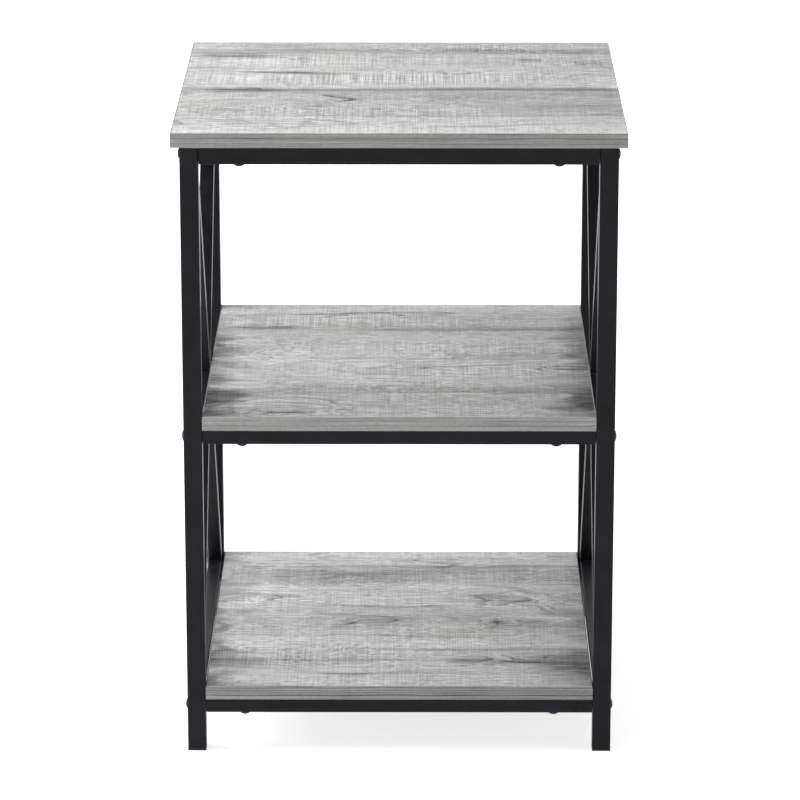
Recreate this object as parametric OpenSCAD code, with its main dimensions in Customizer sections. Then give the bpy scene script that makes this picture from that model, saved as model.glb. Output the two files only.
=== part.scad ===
// Three-tier side table: three laminated boards on a bolted frame of square steel tube,
// with a welded X brace in each side. The front is -Y and the left is -X. The origin is
// on the floor, under the middle of the table. All sizes are in millimetres.

/* [Overall] */
// Height of the table, from the floor to its top face
table_h = 660; // [600:1:760]
// Width of the top board, left to right
top_w = 457; // [400:1:560]
// Depth of the top board, front to back
top_d = 457; // [400:1:560]
// How far the top board stands out past the frame, all round
top_overhang = 8.5; // [0:0.5:20]

/* [Boards] */
// Thickness of the top board and of both shelves
board_t = 15; // [12:0.5:20]
// Thickness of the strip glued along each edge of a board
edging_t = 1; // [0.5:0.1:2]
// Gap between two edging strips where they meet at a corner
edging_seam = 0.1; // [0.05:0.05:0.3]
// Height of the middle shelf's top face above the floor
middle_shelf_h = 363; // [300:1:420]
// Height of the bottom shelf's top face above the floor
bottom_shelf_h = 71.5; // [60:0.5:120]
// Gap between each end of a shelf and the legs beside it
shelf_end_gap = 0.1; // [0.05:0.05:2]

/* [Frame tubes] */
// Width across the flats of the legs and the top rails
leg_tube = 19; // [18:0.5:25]
// Wall of the legs and the top rails
leg_wall = 1.2; // [0.8:0.1:2]
// Width across the flats of the shelf rails, low side rails and braces
small_tube = 15; // [14:0.5:17]
// Wall of the shelf rails, low side rails and braces
small_wall = 1; // [0.8:0.1:1.5]
// Radius of the outer corners of every tube
tube_corner_r = 1.2; // [1:0.1:2.5]
// Gap that the paint leaves between a rail's end and the leg
rail_end_gap = 0.5; // [0.2:0.1:0.8]

/* [Frame bolts] */
// Diameter of the bolts that hold the rails between the legs
bolt_d = 6; // [5:0.5:6.5]
// Length of a bolt under its head
bolt_l = 30; // [28:1:45]
// Diameter of a bolt's domed head
bolt_head_d = 10.5; // [9:0.5:13]
// Height of a bolt's domed head
bolt_head_h = 2.2; // [1.8:0.1:3]
// Clearance round a bolt in the leg, on each side
bolt_clearance = 0.25; // [0.1:0.05:0.5]
// Thickness of the threaded plate welded into each end of a rail
nut_plate_t = 5; // [4:0.5:8]
// Clearance between the plate and the walls of its tube
nut_plate_gap = 0.1; // [0.05:0.05:0.2]
// Clearance round a bolt in its threaded plate
thread_clearance = 0.05; // [0.02:0.01:0.1]

/* [Board screws] */
// Diameter of the screws that hold the boards on their rails
screw_d = 4; // [3:0.5:5]
// How deep a screw goes into its board
screw_bite = 10; // [6:0.5:11]
// Length of a screw's cone point
screw_point_l = 3; // [2:0.5:5]
// Diameter of a screw's domed head
screw_head_d = 10; // [8:0.5:12]
// Height of a screw's domed head
screw_head_h = 2.7; // [2:0.1:3.5]
// Distance from each end of a rail to its screw
screw_inset = 40; // [30:1:80]
// Clearance round a screw in the rail's walls, on each side
screw_clearance = 0.25; // [0.1:0.05:0.5]
// Clearance round a screw in its pilot hole
pilot_clearance = 0.05; // [0.02:0.01:0.1]

/* [Drive recesses] */
// Width of the slot across each bolt and screw head
slot_w = 1.2; // [0.8:0.1:1.6]
// Depth of the slot, and of the cross arm over it
slot_depth = 0.8; // [0.5:0.1:1.2]
// Length of the short arm of the cross
cross_arm_l = 5; // [3:0.5:7]

/* [Foot plugs] */
// Thickness of the plug's flange, which the table stands on
foot_flange_t = 2; // [1.5:0.5:5]
// Length of the sleeve that goes up into the leg
foot_sleeve_l = 16; // [10:1:22]
// Wall of the sleeve
foot_wall = 1.5; // [1:0.1:2.5]
// Clearance between the sleeve and the leg's bore
foot_gap = 0.1; // [0.05:0.05:0.3]
// Number of grip ribs round the sleeve
foot_ribs = 3; // [1:1:4]
// How far a grip rib stands out from the sleeve
foot_rib_out = 0.4; // [0.2:0.1:0.6]

/* [Hidden] */
$fn = 48;

// Signs for the two sides and the two ends
left = -1;
right = 1;
front = -1;
back = 1;
sides = [left, right];
ends = [front, back];

// Frame plan: outside size, the legs' centres and the clear width between legs
frame_w = top_w - 2 * top_overhang;
frame_d = top_d - 2 * top_overhang;
leg_x = (frame_w - leg_tube) / 2;
leg_y = (frame_d - leg_tube) / 2;
clear_w = frame_w - 2 * leg_tube;
clear_d = frame_d - 2 * leg_tube;

// Heights: the frame's top, and the centre height of each level of rails
frame_h = table_h - board_t;
top_rail_z = frame_h - leg_tube / 2;
middle_rail_z = middle_shelf_h - board_t - small_tube / 2;
bottom_rail_z = bottom_shelf_h - board_t - small_tube / 2;
shelf_rail_levels = [middle_rail_z, bottom_rail_z];
bolt_levels = [top_rail_z, middle_rail_z, bottom_rail_z];

// The low side rail lies beside the bottom shelf, with its top face level with it
low_side_rail_z = bottom_shelf_h - small_tube / 2;

// Boards
shelf_w = clear_w - 2 * shelf_end_gap;
shelf_d = frame_d;

// Rails and their fastenings
rail_l = clear_w - 2 * rail_end_gap;
screw_x = rail_l / 2 - screw_inset;
leg_bore = leg_tube - 2 * leg_wall;
small_bore = small_tube - 2 * small_wall;

// Braces run between the rails' centre heights, so both edges land in the corners
brace_rise = top_rail_z - low_side_rail_z;
brace_tilt = atan(clear_d / brace_rise);
brace_cross_z = (top_rail_z + low_side_rail_z) / 2;
opening_low_z = low_side_rail_z + small_tube / 2;
opening_high_z = top_rail_z - leg_tube / 2;
brace_blank_l = norm([clear_d, brace_rise]) + 2 * leg_tube;

// Finishes, and how far a cut runs past the faces it opens
board_colour = [0.70, 0.69, 0.67];
edging_colour = [0.55, 0.54, 0.52];
paint_colour = [0.14, 0.14, 0.15];
steel_colour = [0.28, 0.28, 0.29];
plastic_colour = [0.10, 0.10, 0.10];
cut_extra = 1;

// Outlines shared by the pieces

module rounded_square(width, radius) {
    square([width - 2 * radius, width], center = true);
    square([width, width - 2 * radius], center = true);
    for (x = [-1, 1], y = [-1, 1])
        translate([x, y] * (width / 2 - radius)) circle(radius);
}

// Radius inside a tube's corner, never sharper than a rolled tube has
function bore_r(wall) = max(tube_corner_r - wall, tube_corner_r / 4);

module tube_outline(width, wall) {
    difference() {
        rounded_square(width, tube_corner_r);
        rounded_square(width - 2 * wall, bore_r(wall));
    }
}

module along_x(length) {
    rotate([90, 0, 90]) linear_extrude(length, center = true) children();
}

module along_y(length) {
    rotate([90, 0, 0]) linear_extrude(length, center = true) children();
}

module along_z(length) {
    linear_extrude(length) children();
}

// A head with a flat seat at z = 0 and a domed top, with a slot across it and a cross arm
module slotted_head(diameter, height) {
    rim_h = height * 0.35;
    dome_h = height - rim_h;
    dome_r = (pow(diameter / 2, 2) + pow(dome_h, 2)) / (2 * dome_h);
    difference() {
        intersection() {
            cylinder(d = diameter, h = height);
            translate([0, 0, height - dome_r]) sphere(dome_r);
        }
        translate([0, 0, height]) {
            cube([diameter + cut_extra, slot_w, 2 * slot_depth], center = true);
            cube([slot_w, cross_arm_l, 2 * slot_depth], center = true);
        }
    }
}

// Boards

// A board's core, with its top face at height top_z and pilot holes in its underside
module board(width, depth, top_z) {
    color(board_colour)
    translate([0, 0, top_z - board_t])
    difference() {
        translate([0, 0, board_t / 2])
            cube([width - 2 * edging_t, depth - 2 * edging_t, board_t], center = true);
        for (side = sides, end = ends)
            translate([side * screw_x, end * leg_y, -cut_extra])
                cylinder(d = screw_d + 2 * pilot_clearance, h = screw_bite + cut_extra);
    }
}

// Four strips round a board: the front and back ones run the full width
module edging(width, depth, top_z) {
    side_strip_l = depth - 2 * edging_t - 2 * edging_seam;
    color(edging_colour)
    translate([0, 0, top_z - board_t / 2]) {
        for (end = ends)
            translate([0, end * (depth - edging_t) / 2, 0])
                cube([width, edging_t, board_t], center = true);
        for (side = sides)
            translate([side * (width - edging_t) / 2, 0, 0])
                cube([edging_t, side_strip_l, board_t], center = true);
    }
}

// Side frames

module leg(side, end) {
    color(paint_colour)
    translate([side * leg_x, end * leg_y, 0])
    difference() {
        translate([0, 0, foot_flange_t])
            along_z(frame_h - foot_flange_t) tube_outline(leg_tube, leg_wall);
        for (z = bolt_levels)
            translate([0, 0, z]) rotate([0, 90, 0])
                cylinder(d = bolt_d + 2 * bolt_clearance, h = leg_tube + 2 * cut_extra, center = true);
    }
}

module top_side_rail(side) {
    color(paint_colour)
    translate([side * leg_x, 0, top_rail_z])
        along_y(clear_d) tube_outline(leg_tube, leg_wall);
}

module bottom_side_rail(side) {
    color(paint_colour)
    translate([side * leg_x, 0, low_side_rail_z])
        along_y(clear_d) tube_outline(small_tube, small_wall);
}

// The space inside a side frame that the braces are cut to fit
module side_opening(side) {
    opening_h = opening_high_z - opening_low_z;
    translate([side * leg_x, 0, opening_low_z + opening_h / 2])
        cube([leg_tube, clear_d, opening_h], center = true);
}

// Puts what it is given at the crossing, leaning up to the front or up to the back
module at_crossing(side, lean) {
    translate([side * leg_x, 0, brace_cross_z]) rotate([-lean * brace_tilt, 0, 0]) children();
}

module brace_blank(side, lean) {
    at_crossing(side, lean)
        linear_extrude(brace_blank_l, center = true) tube_outline(small_tube, small_wall);
}

// The unbroken brace, from the top front corner to the bottom back corner
module long_brace(side) {
    color(paint_colour)
    intersection() {
        brace_blank(side, front);
        side_opening(side);
    }
}

// Half of the other brace, sawn flush with the long brace's upper or lower side
module half_brace(side, above) {
    color(paint_colour)
    intersection() {
        brace_blank(side, back);
        side_opening(side);
        at_crossing(side, front)
            translate([0, above * (small_tube + brace_blank_l) / 2, 0])
                cube([leg_tube, brace_blank_l, 2 * brace_blank_l], center = true);
    }
}

// Cross rails

module rail(end, z, width, wall) {
    color(paint_colour)
    translate([0, end * leg_y, z])
    difference() {
        along_x(rail_l) tube_outline(width, wall);
        for (side = sides)
            translate([side * screw_x, 0, 0])
                cylinder(d = screw_d + 2 * screw_clearance, h = width + 2 * cut_extra, center = true);
    }
}

module top_rail(end) {
    rail(end, top_rail_z, leg_tube, leg_wall);
}

module middle_rail(end) {
    rail(end, middle_rail_z, small_tube, small_wall);
}

module bottom_rail(end) {
    rail(end, bottom_rail_z, small_tube, small_wall);
}

// The threaded plates in the ends of the rails at one level
module nut_plates(z, bore, corner_r) {
    color(steel_colour)
    for (side = sides, end = ends)
        translate([side * (rail_l - nut_plate_t) / 2, end * leg_y, z])
        difference() {
            along_x(nut_plate_t) rounded_square(bore - 2 * nut_plate_gap, corner_r);
            rotate([0, 90, 0])
                cylinder(d = bolt_d + 2 * thread_clearance, h = nut_plate_t + 2 * cut_extra, center = true);
        }
}

module top_rail_nuts() {
    nut_plates(top_rail_z, leg_bore, bore_r(leg_wall));
}

module shelf_rail_nuts() {
    for (z = shelf_rail_levels)
        nut_plates(z, small_bore, bore_r(small_wall));
}

// Fasteners

module frame_bolt() {
    slotted_head(bolt_head_d, bolt_head_h);
    translate([0, 0, -bolt_l]) cylinder(d = bolt_d, h = bolt_l);
}

// Each bolt enters from the outer face of its leg, with its slot level
module frame_bolts() {
    color(paint_colour)
    for (side = sides, end = ends, z = bolt_levels)
        translate([side * frame_w / 2, end * leg_y, z])
            rotate([0, side * 90, 0]) rotate([0, 0, 90]) frame_bolt();
}

module board_screw(rail_h) {
    shank_l = rail_h + screw_bite - screw_point_l;
    mirror([0, 0, 1]) slotted_head(screw_head_d, screw_head_h);
    cylinder(d = screw_d, h = shank_l);
    translate([0, 0, shank_l]) cylinder(d1 = screw_d, d2 = screw_d / 4, h = screw_point_l);
}

// Four screws up through the rails of one level
module board_screws(rail_z, rail_h) {
    color(paint_colour)
    for (side = sides, end = ends)
        translate([side * screw_x, end * leg_y, rail_z - rail_h / 2]) board_screw(rail_h);
}

module top_board_screws() {
    board_screws(top_rail_z, leg_tube);
}

module shelf_screws() {
    for (z = shelf_rail_levels)
        board_screws(z, small_tube);
}

// Plastic plug in the bottom of a leg: a flange, a hollow sleeve and grip ribs round it
module foot(side, end) {
    sleeve = leg_bore - 2 * foot_gap - 2 * foot_rib_out;
    corner = bore_r(leg_wall);
    rib_pitch = foot_sleeve_l / (foot_ribs + 1);
    color(plastic_colour)
    translate([side * leg_x, end * leg_y, 0])
    difference() {
        union() {
            along_z(foot_flange_t) rounded_square(leg_tube, tube_corner_r);
            along_z(foot_flange_t + foot_sleeve_l) rounded_square(sleeve, corner);
            for (i = [1 : foot_ribs])
                translate([0, 0, foot_flange_t + i * rib_pitch])
                    along_z(foot_wall) rounded_square(sleeve + 2 * foot_rib_out, corner);
        }
        translate([0, 0, foot_flange_t])
            along_z(foot_sleeve_l + cut_extra) rounded_square(sleeve - 2 * foot_wall, corner);
    }
}

board(top_w, top_d, table_h);  // top_board
board(shelf_w, shelf_d, middle_shelf_h);  // middle_shelf
board(shelf_w, shelf_d, bottom_shelf_h);  // bottom_shelf
edging(top_w, top_d, table_h);  // top_board_edging
edging(shelf_w, shelf_d, middle_shelf_h);  // middle_shelf_edging
edging(shelf_w, shelf_d, bottom_shelf_h);  // bottom_shelf_edging
leg(left, front);  // front_left_leg
leg(right, front);  // front_right_leg
leg(left, back);  // back_left_leg
leg(right, back);  // back_right_leg
top_side_rail(left);  // left_top_side_rail
top_side_rail(right);  // right_top_side_rail
bottom_side_rail(left);  // left_bottom_side_rail
bottom_side_rail(right);  // right_bottom_side_rail
long_brace(left);  // left_long_brace
half_brace(left, 1);  // left_upper_brace
half_brace(left, -1);  // left_lower_brace
long_brace(right);  // right_long_brace
half_brace(right, 1);  // right_upper_brace
half_brace(right, -1);  // right_lower_brace
top_rail(front);  // front_top_rail
top_rail(back);  // back_top_rail
middle_rail(front);  // front_middle_rail
middle_rail(back);  // back_middle_rail
bottom_rail(front);  // front_bottom_rail
bottom_rail(back);  // back_bottom_rail
top_rail_nuts();
shelf_rail_nuts();
frame_bolts();
top_board_screws();
shelf_screws();
foot(left, front);  // front_left_foot
foot(right, front);  // front_right_foot
foot(left, back);  // back_left_foot
foot(right, back);  // back_right_foot
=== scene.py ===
# %% [markdown]
# A tall square side table: three boards of grey wood-grain laminate on a bolted frame of black steel
# tube, with an X brace on each side. The exact model already holds every part at its real size, so
# this file gives the parts their finishes, adds the small forms that only the eye needs, and sets
# up the studio.

# %% Load the exact model
import math
from collections import namedtuple

import bmesh
import bpy
from mathutils import Euler, Matrix, Vector


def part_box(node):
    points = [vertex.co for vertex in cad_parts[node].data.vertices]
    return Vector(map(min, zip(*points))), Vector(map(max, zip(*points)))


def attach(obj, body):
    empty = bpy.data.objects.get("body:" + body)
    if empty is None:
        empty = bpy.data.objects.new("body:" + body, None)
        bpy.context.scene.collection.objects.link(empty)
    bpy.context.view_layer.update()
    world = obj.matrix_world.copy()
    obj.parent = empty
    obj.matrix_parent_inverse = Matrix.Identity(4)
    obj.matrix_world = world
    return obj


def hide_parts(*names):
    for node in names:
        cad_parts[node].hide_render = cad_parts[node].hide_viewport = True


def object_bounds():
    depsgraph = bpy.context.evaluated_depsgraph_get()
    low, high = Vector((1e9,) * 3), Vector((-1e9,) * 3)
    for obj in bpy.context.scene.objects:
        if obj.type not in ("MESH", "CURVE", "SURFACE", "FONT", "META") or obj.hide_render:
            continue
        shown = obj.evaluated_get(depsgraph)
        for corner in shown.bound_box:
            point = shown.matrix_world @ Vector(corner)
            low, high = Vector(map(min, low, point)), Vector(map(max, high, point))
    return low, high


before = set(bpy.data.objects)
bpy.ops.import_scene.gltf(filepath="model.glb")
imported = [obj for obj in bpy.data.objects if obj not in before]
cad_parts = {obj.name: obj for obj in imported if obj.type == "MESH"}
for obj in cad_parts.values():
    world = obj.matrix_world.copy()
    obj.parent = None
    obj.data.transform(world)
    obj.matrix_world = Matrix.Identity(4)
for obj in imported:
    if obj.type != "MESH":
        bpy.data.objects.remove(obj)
cad_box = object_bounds()
MM = 0.001
print("parts:", len(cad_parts))
print("size in mm:", [round(side / MM) for side in cad_box[1] - cad_box[0]])

# %% [markdown]
# The camera stands about four metres in front of the table, at the eye height of a grown person,
# and looks down at it through a long lens. From so far away the legs stay almost parallel, as in a
# catalogue picture. A shifted lens would make them quite parallel, but the same shift would push
# the table out of every other view, so the camera is tilted instead.

# %% Camera
CAMERA_AT = Vector((17.6, -4216.6, 1556.6)) * MM
CAMERA_DOWN = math.radians(16.39)
CAMERA_LEFT = math.radians(0.24)
LENS = 184.44
SENSOR = 36
FARTHEST_SEEN = 100

bpy.ops.object.camera_add(
    location=CAMERA_AT, rotation=Euler((math.pi / 2 - CAMERA_DOWN, 0, CAMERA_LEFT))
)
camera = bpy.context.object
camera.name = "camera"
camera.data.sensor_width = SENSOR
camera.data.lens = LENS
camera.data.clip_end = FARTHEST_SEEN
bpy.context.scene.camera = camera
bpy.context.scene.view_settings.view_transform = "Standard"
print("camera distance in metres:", round(CAMERA_AT.length, 2))

# %% [markdown]
# A material is a tree of nodes. Linking them by hand makes even a short sum long, and it reads best
# as plain Python. So a Value stands for one output of a node, and its operators add the Math nodes
# that an expression needs. A Tree is the node tree that they are added to, with one method for
# every other kind of node.

# %% Values and trees
class Value:
    """One output of a node, which Python's operators can calculate with."""

    def __init__(self, tree, socket):
        self.tree = tree
        self.socket = socket

    def math(self, operation, *values):
        return self.tree.node("ShaderNodeMath", {"operation": operation}, dict(enumerate(values)))

    def __add__(self, other):
        return self.math("ADD", self, other)

    def __sub__(self, other):
        return self.math("SUBTRACT", self, other)

    def __rsub__(self, other):
        return self.math("SUBTRACT", other, self)

    def __mul__(self, other):
        return self.math("MULTIPLY", self, other)

    def __truediv__(self, other):
        return self.math("DIVIDE", self, other)

    def __pow__(self, other):
        return self.math("POWER", self, other)

    def __abs__(self):
        return self.math("ABSOLUTE", self)

    def clamped(self, low=0.0, high=1.0):
        return self.math("MINIMUM", self.math("MAXIMUM", self, low), high)

    def wave(self):
        return self.math("SINE", self * (2 * math.pi))

    __radd__ = __add__
    __rmul__ = __mul__


class Tree:
    """A node tree, and the one method that adds a node to it."""

    def __init__(self, node_tree):
        self.nodes = node_tree.nodes
        self.links = node_tree.links

    def node(self, kind, settings=None, sockets=None, output=0):
        """Adds a node with its settings and the values of its sockets, and gives one output."""
        made = self.nodes.new(kind)
        for name, setting in (settings or {}).items():
            if name == "stops":
                set_stops(made.color_ramp, setting)
            else:
                setattr(made, name, setting)
        for name, value in (sockets or {}).items():
            self.put(value, made.inputs[name])
        return Value(self, made.outputs[output])

    def put(self, value, socket):
        """Links a value to a socket, or sets the socket to a plain number."""
        if isinstance(value, Value):
            self.links.new(value.socket, socket)
        else:
            socket.default_value = value


def set_stops(ramp, stops):
    """Gives a colour ramp its stops, each a position and a grey level."""
    while len(ramp.elements) < len(stops):
        ramp.elements.new(1.0)
    for element, (position, level) in zip(ramp.elements, stops):
        element.position = position
        element.color = (level, level, level, 1)


print("a Value can be used with + - * / ** and abs")

# %% [markdown]
# The studio is plain: a white floor in a white surround. Only rays from the camera, and rays that
# a shiny face mirrors, see the surround at full white. The light that it sheds on the table is
# weaker, so that a colour looks about as it is mixed.

# %% Surround
SURROUND_LIGHT = 0.25
WHITE = (1, 1, 1, 1)


def seen_directly(tree):
    """1 for rays from the camera and for mirrored rays, 0 for light on its way to a matt face."""
    kinds = ("Is Camera Ray", "Is Glossy Ray", "Is Transmission Ray")
    camera_ray, glossy_ray, through_ray = [
        tree.node("ShaderNodeLightPath", output=kind) for kind in kinds
    ]
    return (camera_ray + glossy_ray + through_ray).clamped()


world = bpy.data.worlds.new("white surround")
world.use_nodes = True
bpy.context.scene.world = world
surround = Tree(world.node_tree)
brightness = SURROUND_LIGHT + (1 - SURROUND_LIGHT) * seen_directly(surround)
sky = surround.node("ShaderNodeBackground", None, {"Color": WHITE, "Strength": brightness})
surround.put(sky, surround.nodes["World Output"].inputs["Surface"])
print("surround light:", SURROUND_LIGHT)

# %% [markdown]
# The floor is a large sheet of matt white, and it is lifted to the white of the surround in the
# same way. Near the table what the lift adds is the same all round, so the table's shadow stays on
# the floor. Further out it rises to full white, because no lamp reaches there.

# %% Floor
FLOOR_SIDE = 60.0
FLOOR_WHITE = 0.9
FLOOR_LIFT = 0.71
SHADOW_REACH = 1.0
LAMP_REACH = 2.2

bpy.ops.object.select_all(action="DESELECT")
bpy.ops.mesh.primitive_plane_add(size=FLOOR_SIDE)
floor = bpy.context.object
floor.name = "floor"
floor_paint = bpy.data.materials.new("white floor")
floor_paint.use_nodes = True
floor.data.materials.append(floor_paint)

floor_tree = Tree(floor_paint.node_tree)
floor_tree.nodes.remove(floor_tree.nodes["Principled BSDF"])
matt = floor_tree.node("ShaderNodeBsdfDiffuse", None, {
    "Color": (FLOOR_WHITE, FLOOR_WHITE, FLOOR_WHITE, 1),
})
away = floor_tree.node("ShaderNodeVectorMath", {"operation": "LENGTH"}, {
    0: floor_tree.node("ShaderNodeTexCoord", output="Object"),
}, output="Value")
rising = floor_tree.node("ShaderNodeMapRange", None, {
    "Value": away,
    "From Min": SHADOW_REACH,
    "From Max": LAMP_REACH,
    "To Min": FLOOR_LIFT,
    "To Max": 1.0,
})
lift = floor_tree.node("ShaderNodeEmission", None, {
    "Color": WHITE, "Strength": rising * seen_directly(floor_tree),
})
lifted = floor_tree.node("ShaderNodeAddShader", None, {0: matt, 1: lift})
floor_tree.put(lifted, floor_tree.nodes["Material Output"].inputs["Surface"])
print("floor:", FLOOR_SIDE, "m square")

# %% [markdown]
# The bright background of a product picture lights the table too, so the largest lamp stands
# behind it and a second one to its left. They reach under the top board and light the shelves,
# while the front stays in soft shade. A weaker lamp hangs above, and two faint ones fill the front
# and the right. No shiny face mirrors the lamps behind and to the left, or the boards and the low
# rails would turn pale where they are seen at a flat angle. A lamp in the list is its place and its
# side in metres, and its power in watts.

# %% Lamps
AIM = Vector((0, 0, 0.4))
LAMPS = {
    "back softbox": ((0, 3.0, 1.3), 2.4, 43),
    "left softbox": ((-1.7, 0, 1.35), 1.2, 33),
    "overhead softbox": ((0, 0, 2.6), 1.6, 7.5),
    "front fill": ((-2.0, -2.6, 1.8), 1.6, 6.5),
    "right fill": ((3.0, 0, 1.3), 2.0, 5),
}
NOT_MIRRORED = ("back softbox", "left softbox")

for name, (at, side, power) in LAMPS.items():
    bpy.ops.object.light_add(type="AREA", location=at)
    lamp = bpy.context.object
    lamp.name = name
    lamp.rotation_euler = (AIM - Vector(at)).to_track_quat("-Z", "Y").to_euler()
    lamp.data.shape = "SQUARE"
    lamp.data.size = side
    lamp.data.energy = power
    lamp.visible_camera = False
    lamp.visible_glossy = name not in NOT_MIRRORED
print("lamps:", list(LAMPS))

# %% [markdown]
# Every finish is one Principled shader with a pattern in front of it. The patterns are measured in
# millimetres on the object, so a grain line keeps its place and its size on whichever part has it.
# A pattern with a size of THROUGH along an axis doesn't change along it. Blender's noise swings by
# less and less about its middle as detail is added, so it is divided by its own swing here, and the
# number in front of it then says how strong it is.

# %% A finish
NOISE_SWING = (0.109, 0.081, 0.071)
THROUGH = 1e6
WHITE_LEVEL = 255
PICTURE_GAMMA = 2.2
DARKEST = 0.1
PALEST = 0.97


class Finish(Tree):
    """A material built round one Principled shader."""

    def __init__(self, name, **fixed):
        self.material = bpy.data.materials.new(name)
        self.material.use_nodes = True
        super().__init__(self.material.node_tree)
        self.shader = self.nodes["Principled BSDF"]
        self.place = self.node("ShaderNodeTexCoord", output="Object")
        for socket, value in fixed.items():
            self.shader.inputs[socket.replace("_", " ")].default_value = value

    def feed(self, socket, value):
        self.put(value, self.shader.inputs[socket])

    def axis(self, letter):
        """How far along one axis the place is, in millimetres."""
        return self.node("ShaderNodeSeparateXYZ", None, {0: self.place}, output=letter) / MM

    def placed(self, centre=(0, 0, 0), size=(1, 1, 1), turn=0.0):
        """The place on the object, from a centre and in units of a size, both in millimetres."""
        return self.node("ShaderNodeMapping", {"vector_type": "TEXTURE"}, {
            "Vector": self.place,
            "Location": Vector(centre) * MM,
            "Rotation": (0, 0, math.radians(turn)),
            "Scale": Vector(size) * MM,
        })

    def noise(self, size, detail=2, seed=0.0, turn=0.0):
        """Soft noise that swings by about 1. Its size is one number, or one for each axis."""
        size = size if isinstance(size, tuple) else (size, size, size)
        cloud = self.node("ShaderNodeTexNoise", {"noise_dimensions": "4D"}, {
            "Vector": self.placed(size=size, turn=turn),
            "W": seed,
            "Scale": 1.0,
            "Detail": float(detail),
        })
        return (cloud - 0.5) / NOISE_SWING[detail]

    def spot(self, x, y, half_length, half_width, turn=0.0):
        """1 at a place on a board, fading to 0 at the edge of an oval round it."""
        return self.node("ShaderNodeTexGradient", {"gradient_type": "SPHERICAL"}, {
            "Vector": self.placed((x, y, 0), (half_length, half_width, THROUGH), turn),
        }, output="Fac")

    def tinted(self, colour, strength):
        """A colour made lighter or darker by a value."""
        return self.node(
            "ShaderNodeVectorMath", {"operation": "SCALE"}, {0: colour, "Scale": strength}
        )

    def printed(self, colour, grey):
        """A colour at the brightness of a grey level, which runs from 0 to 255 as in a picture."""
        brightness = (grey / WHITE_LEVEL).clamped(DARKEST, PALEST) ** PICTURE_GAMMA
        return self.tinted(colour, brightness)

    def bump(self, height, depth):
        """A surface normal for a relief of the given depth in millimetres."""
        return self.node("ShaderNodeBump", None, {"Distance": depth * MM, "Height": height})


def dress(nodes, finish):
    """Gives parts of the exact model a finish."""
    for node in nodes:
        for material_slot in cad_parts[node].material_slots:
            material_slot.material = finish.material


print("swing of Blender's noise without and with detail:", NOISE_SWING)

# %% [markdown]
# The frame is powder-coated: a baked plastic skin, near black with a touch of blue, satin, and
# very slightly dimpled. Seen straight on it is dark, but along a face that is seen almost
# edge-on it mirrors the white studio as a thin grey line, which the plain shader does by itself.

# %% Frame paint
POWDER_COAT = (0.0130, 0.0130, 0.0176)
MOTTLE, MOTTLE_SIZE = 0.12, 28
SATIN = 0.38
GLOSS_DRIFT, GLOSS_SIZE = 0.01, 12
DIMPLE_DEPTH, DIMPLE_SIZE = 0.004, 0.7

frame_paint = Finish("frame powder coat", Specular_IOR_Level=0.15)
mottle = 1 + MOTTLE * frame_paint.noise(MOTTLE_SIZE)
frame_paint.feed("Base Color", frame_paint.tinted(POWDER_COAT, mottle))
gloss_drift = GLOSS_DRIFT * frame_paint.noise(GLOSS_SIZE, seed=3)
frame_paint.feed("Roughness", SATIN + gloss_drift)
frame_paint.feed("Normal", frame_paint.bump(frame_paint.noise(DIMPLE_SIZE), DIMPLE_DEPTH))
painted = [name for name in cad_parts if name.endswith(("leg", "rail", "brace"))]
dress(painted, frame_paint)
print("painted parts:", len(painted))

# %% [markdown]
# The boards are chipboard under a printed laminate. The print shows a few wide planks of
# white-washed oak that run from side to side. No single noise looks like wood, so the print is
# built up from layers. A layer is a strength, a length along the grain and a width across it in
# millimetres, a detail and a seed. The first three move the place where the rest is drawn, so that
# no grain runs quite straight, and their strength is in millimetres. The next nine are in grey
# levels. The last three are shares: how worn or cracked a place is, and how cool its grey.

# %% Layers of the print
Layer = namedtuple("Layer", "strength long wide detail seed")

DRIFT = Layer(8.0, 60, 24, 1, 0)
BEND = Layer(1.2, 150, 60, 1, 1)
RIPPLE = Layer(0.35, 20, 7, 1, 2)
FIBRES = Layer(17, 11, 0.9, 2, 3)
STREAKY = Layer(4, 70, 5, 2, 4)
LINES = Layer(17, 190, 7, 1, 5)
BROAD = Layer(3.5, 100, 22, 2, 7)
MOTTLED = Layer(2.0, 14, 5, 1, 8)
FINE = Layer(11, 30, 2.2, 1, 9)
CRACKS = Layer(24, 44, 3.6, 1, 13)
CURLED = Layer(6, 3.5, 16, 1, 10)
SAWN = Layer(9.5, 1.4, 90, 0, 11)
WORN = Layer(0.5, 80, 34, 1, 6)
CRACKED = Layer(0.6, 60, 22, 1, 14)
COOLNESS = Layer(0.25, 160, 60, 0, 12)


def layer(finish, kind, seed, turn=0.0):
    """The noise of one layer, which swings by about 1."""
    return finish.noise((kind.long, kind.wide, THROUGH), kind.detail, seed + kind.seed, turn)


def full_layer(finish, kind, seed):
    """The noise of one layer at its own strength."""
    return kind.strength * layer(finish, kind, seed)


def veins(noise, sharpness):
    """Thin lines of 1 where a noise crosses its middle, with 0 between them."""
    return (1 - abs(noise) * sharpness).clamped()


def joined(finish, along, across):
    """One place from the distances along and across a board."""
    return finish.node("ShaderNodeCombineXYZ", None, {"X": along * MM, "Y": across * MM})


print("a fibre is about", FIBRES.long, "by", FIBRES.wide, "mm")

# %% [markdown]
# What noise can't give is drawn from lists. The tone of the planks is a colour ramp that runs over
# the board from its front to its back. Streaks and knots are soft ovals, rings are waves inside an
# oval, and a crack is a chain of very thin ovals. The grain parts round each knot, because the
# distance across the board is stretched there.

# %% Drawn from lists
RAMP_HALF = 230.0
STROKE_SHARE = 0.75
RING_FADE = 4


def ramp_share(y):
    """How far along the ramp a distance from the middle of the board is, from 0 to 1."""
    return (y + RAMP_HALF) / (2 * RAMP_HALF)


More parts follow.
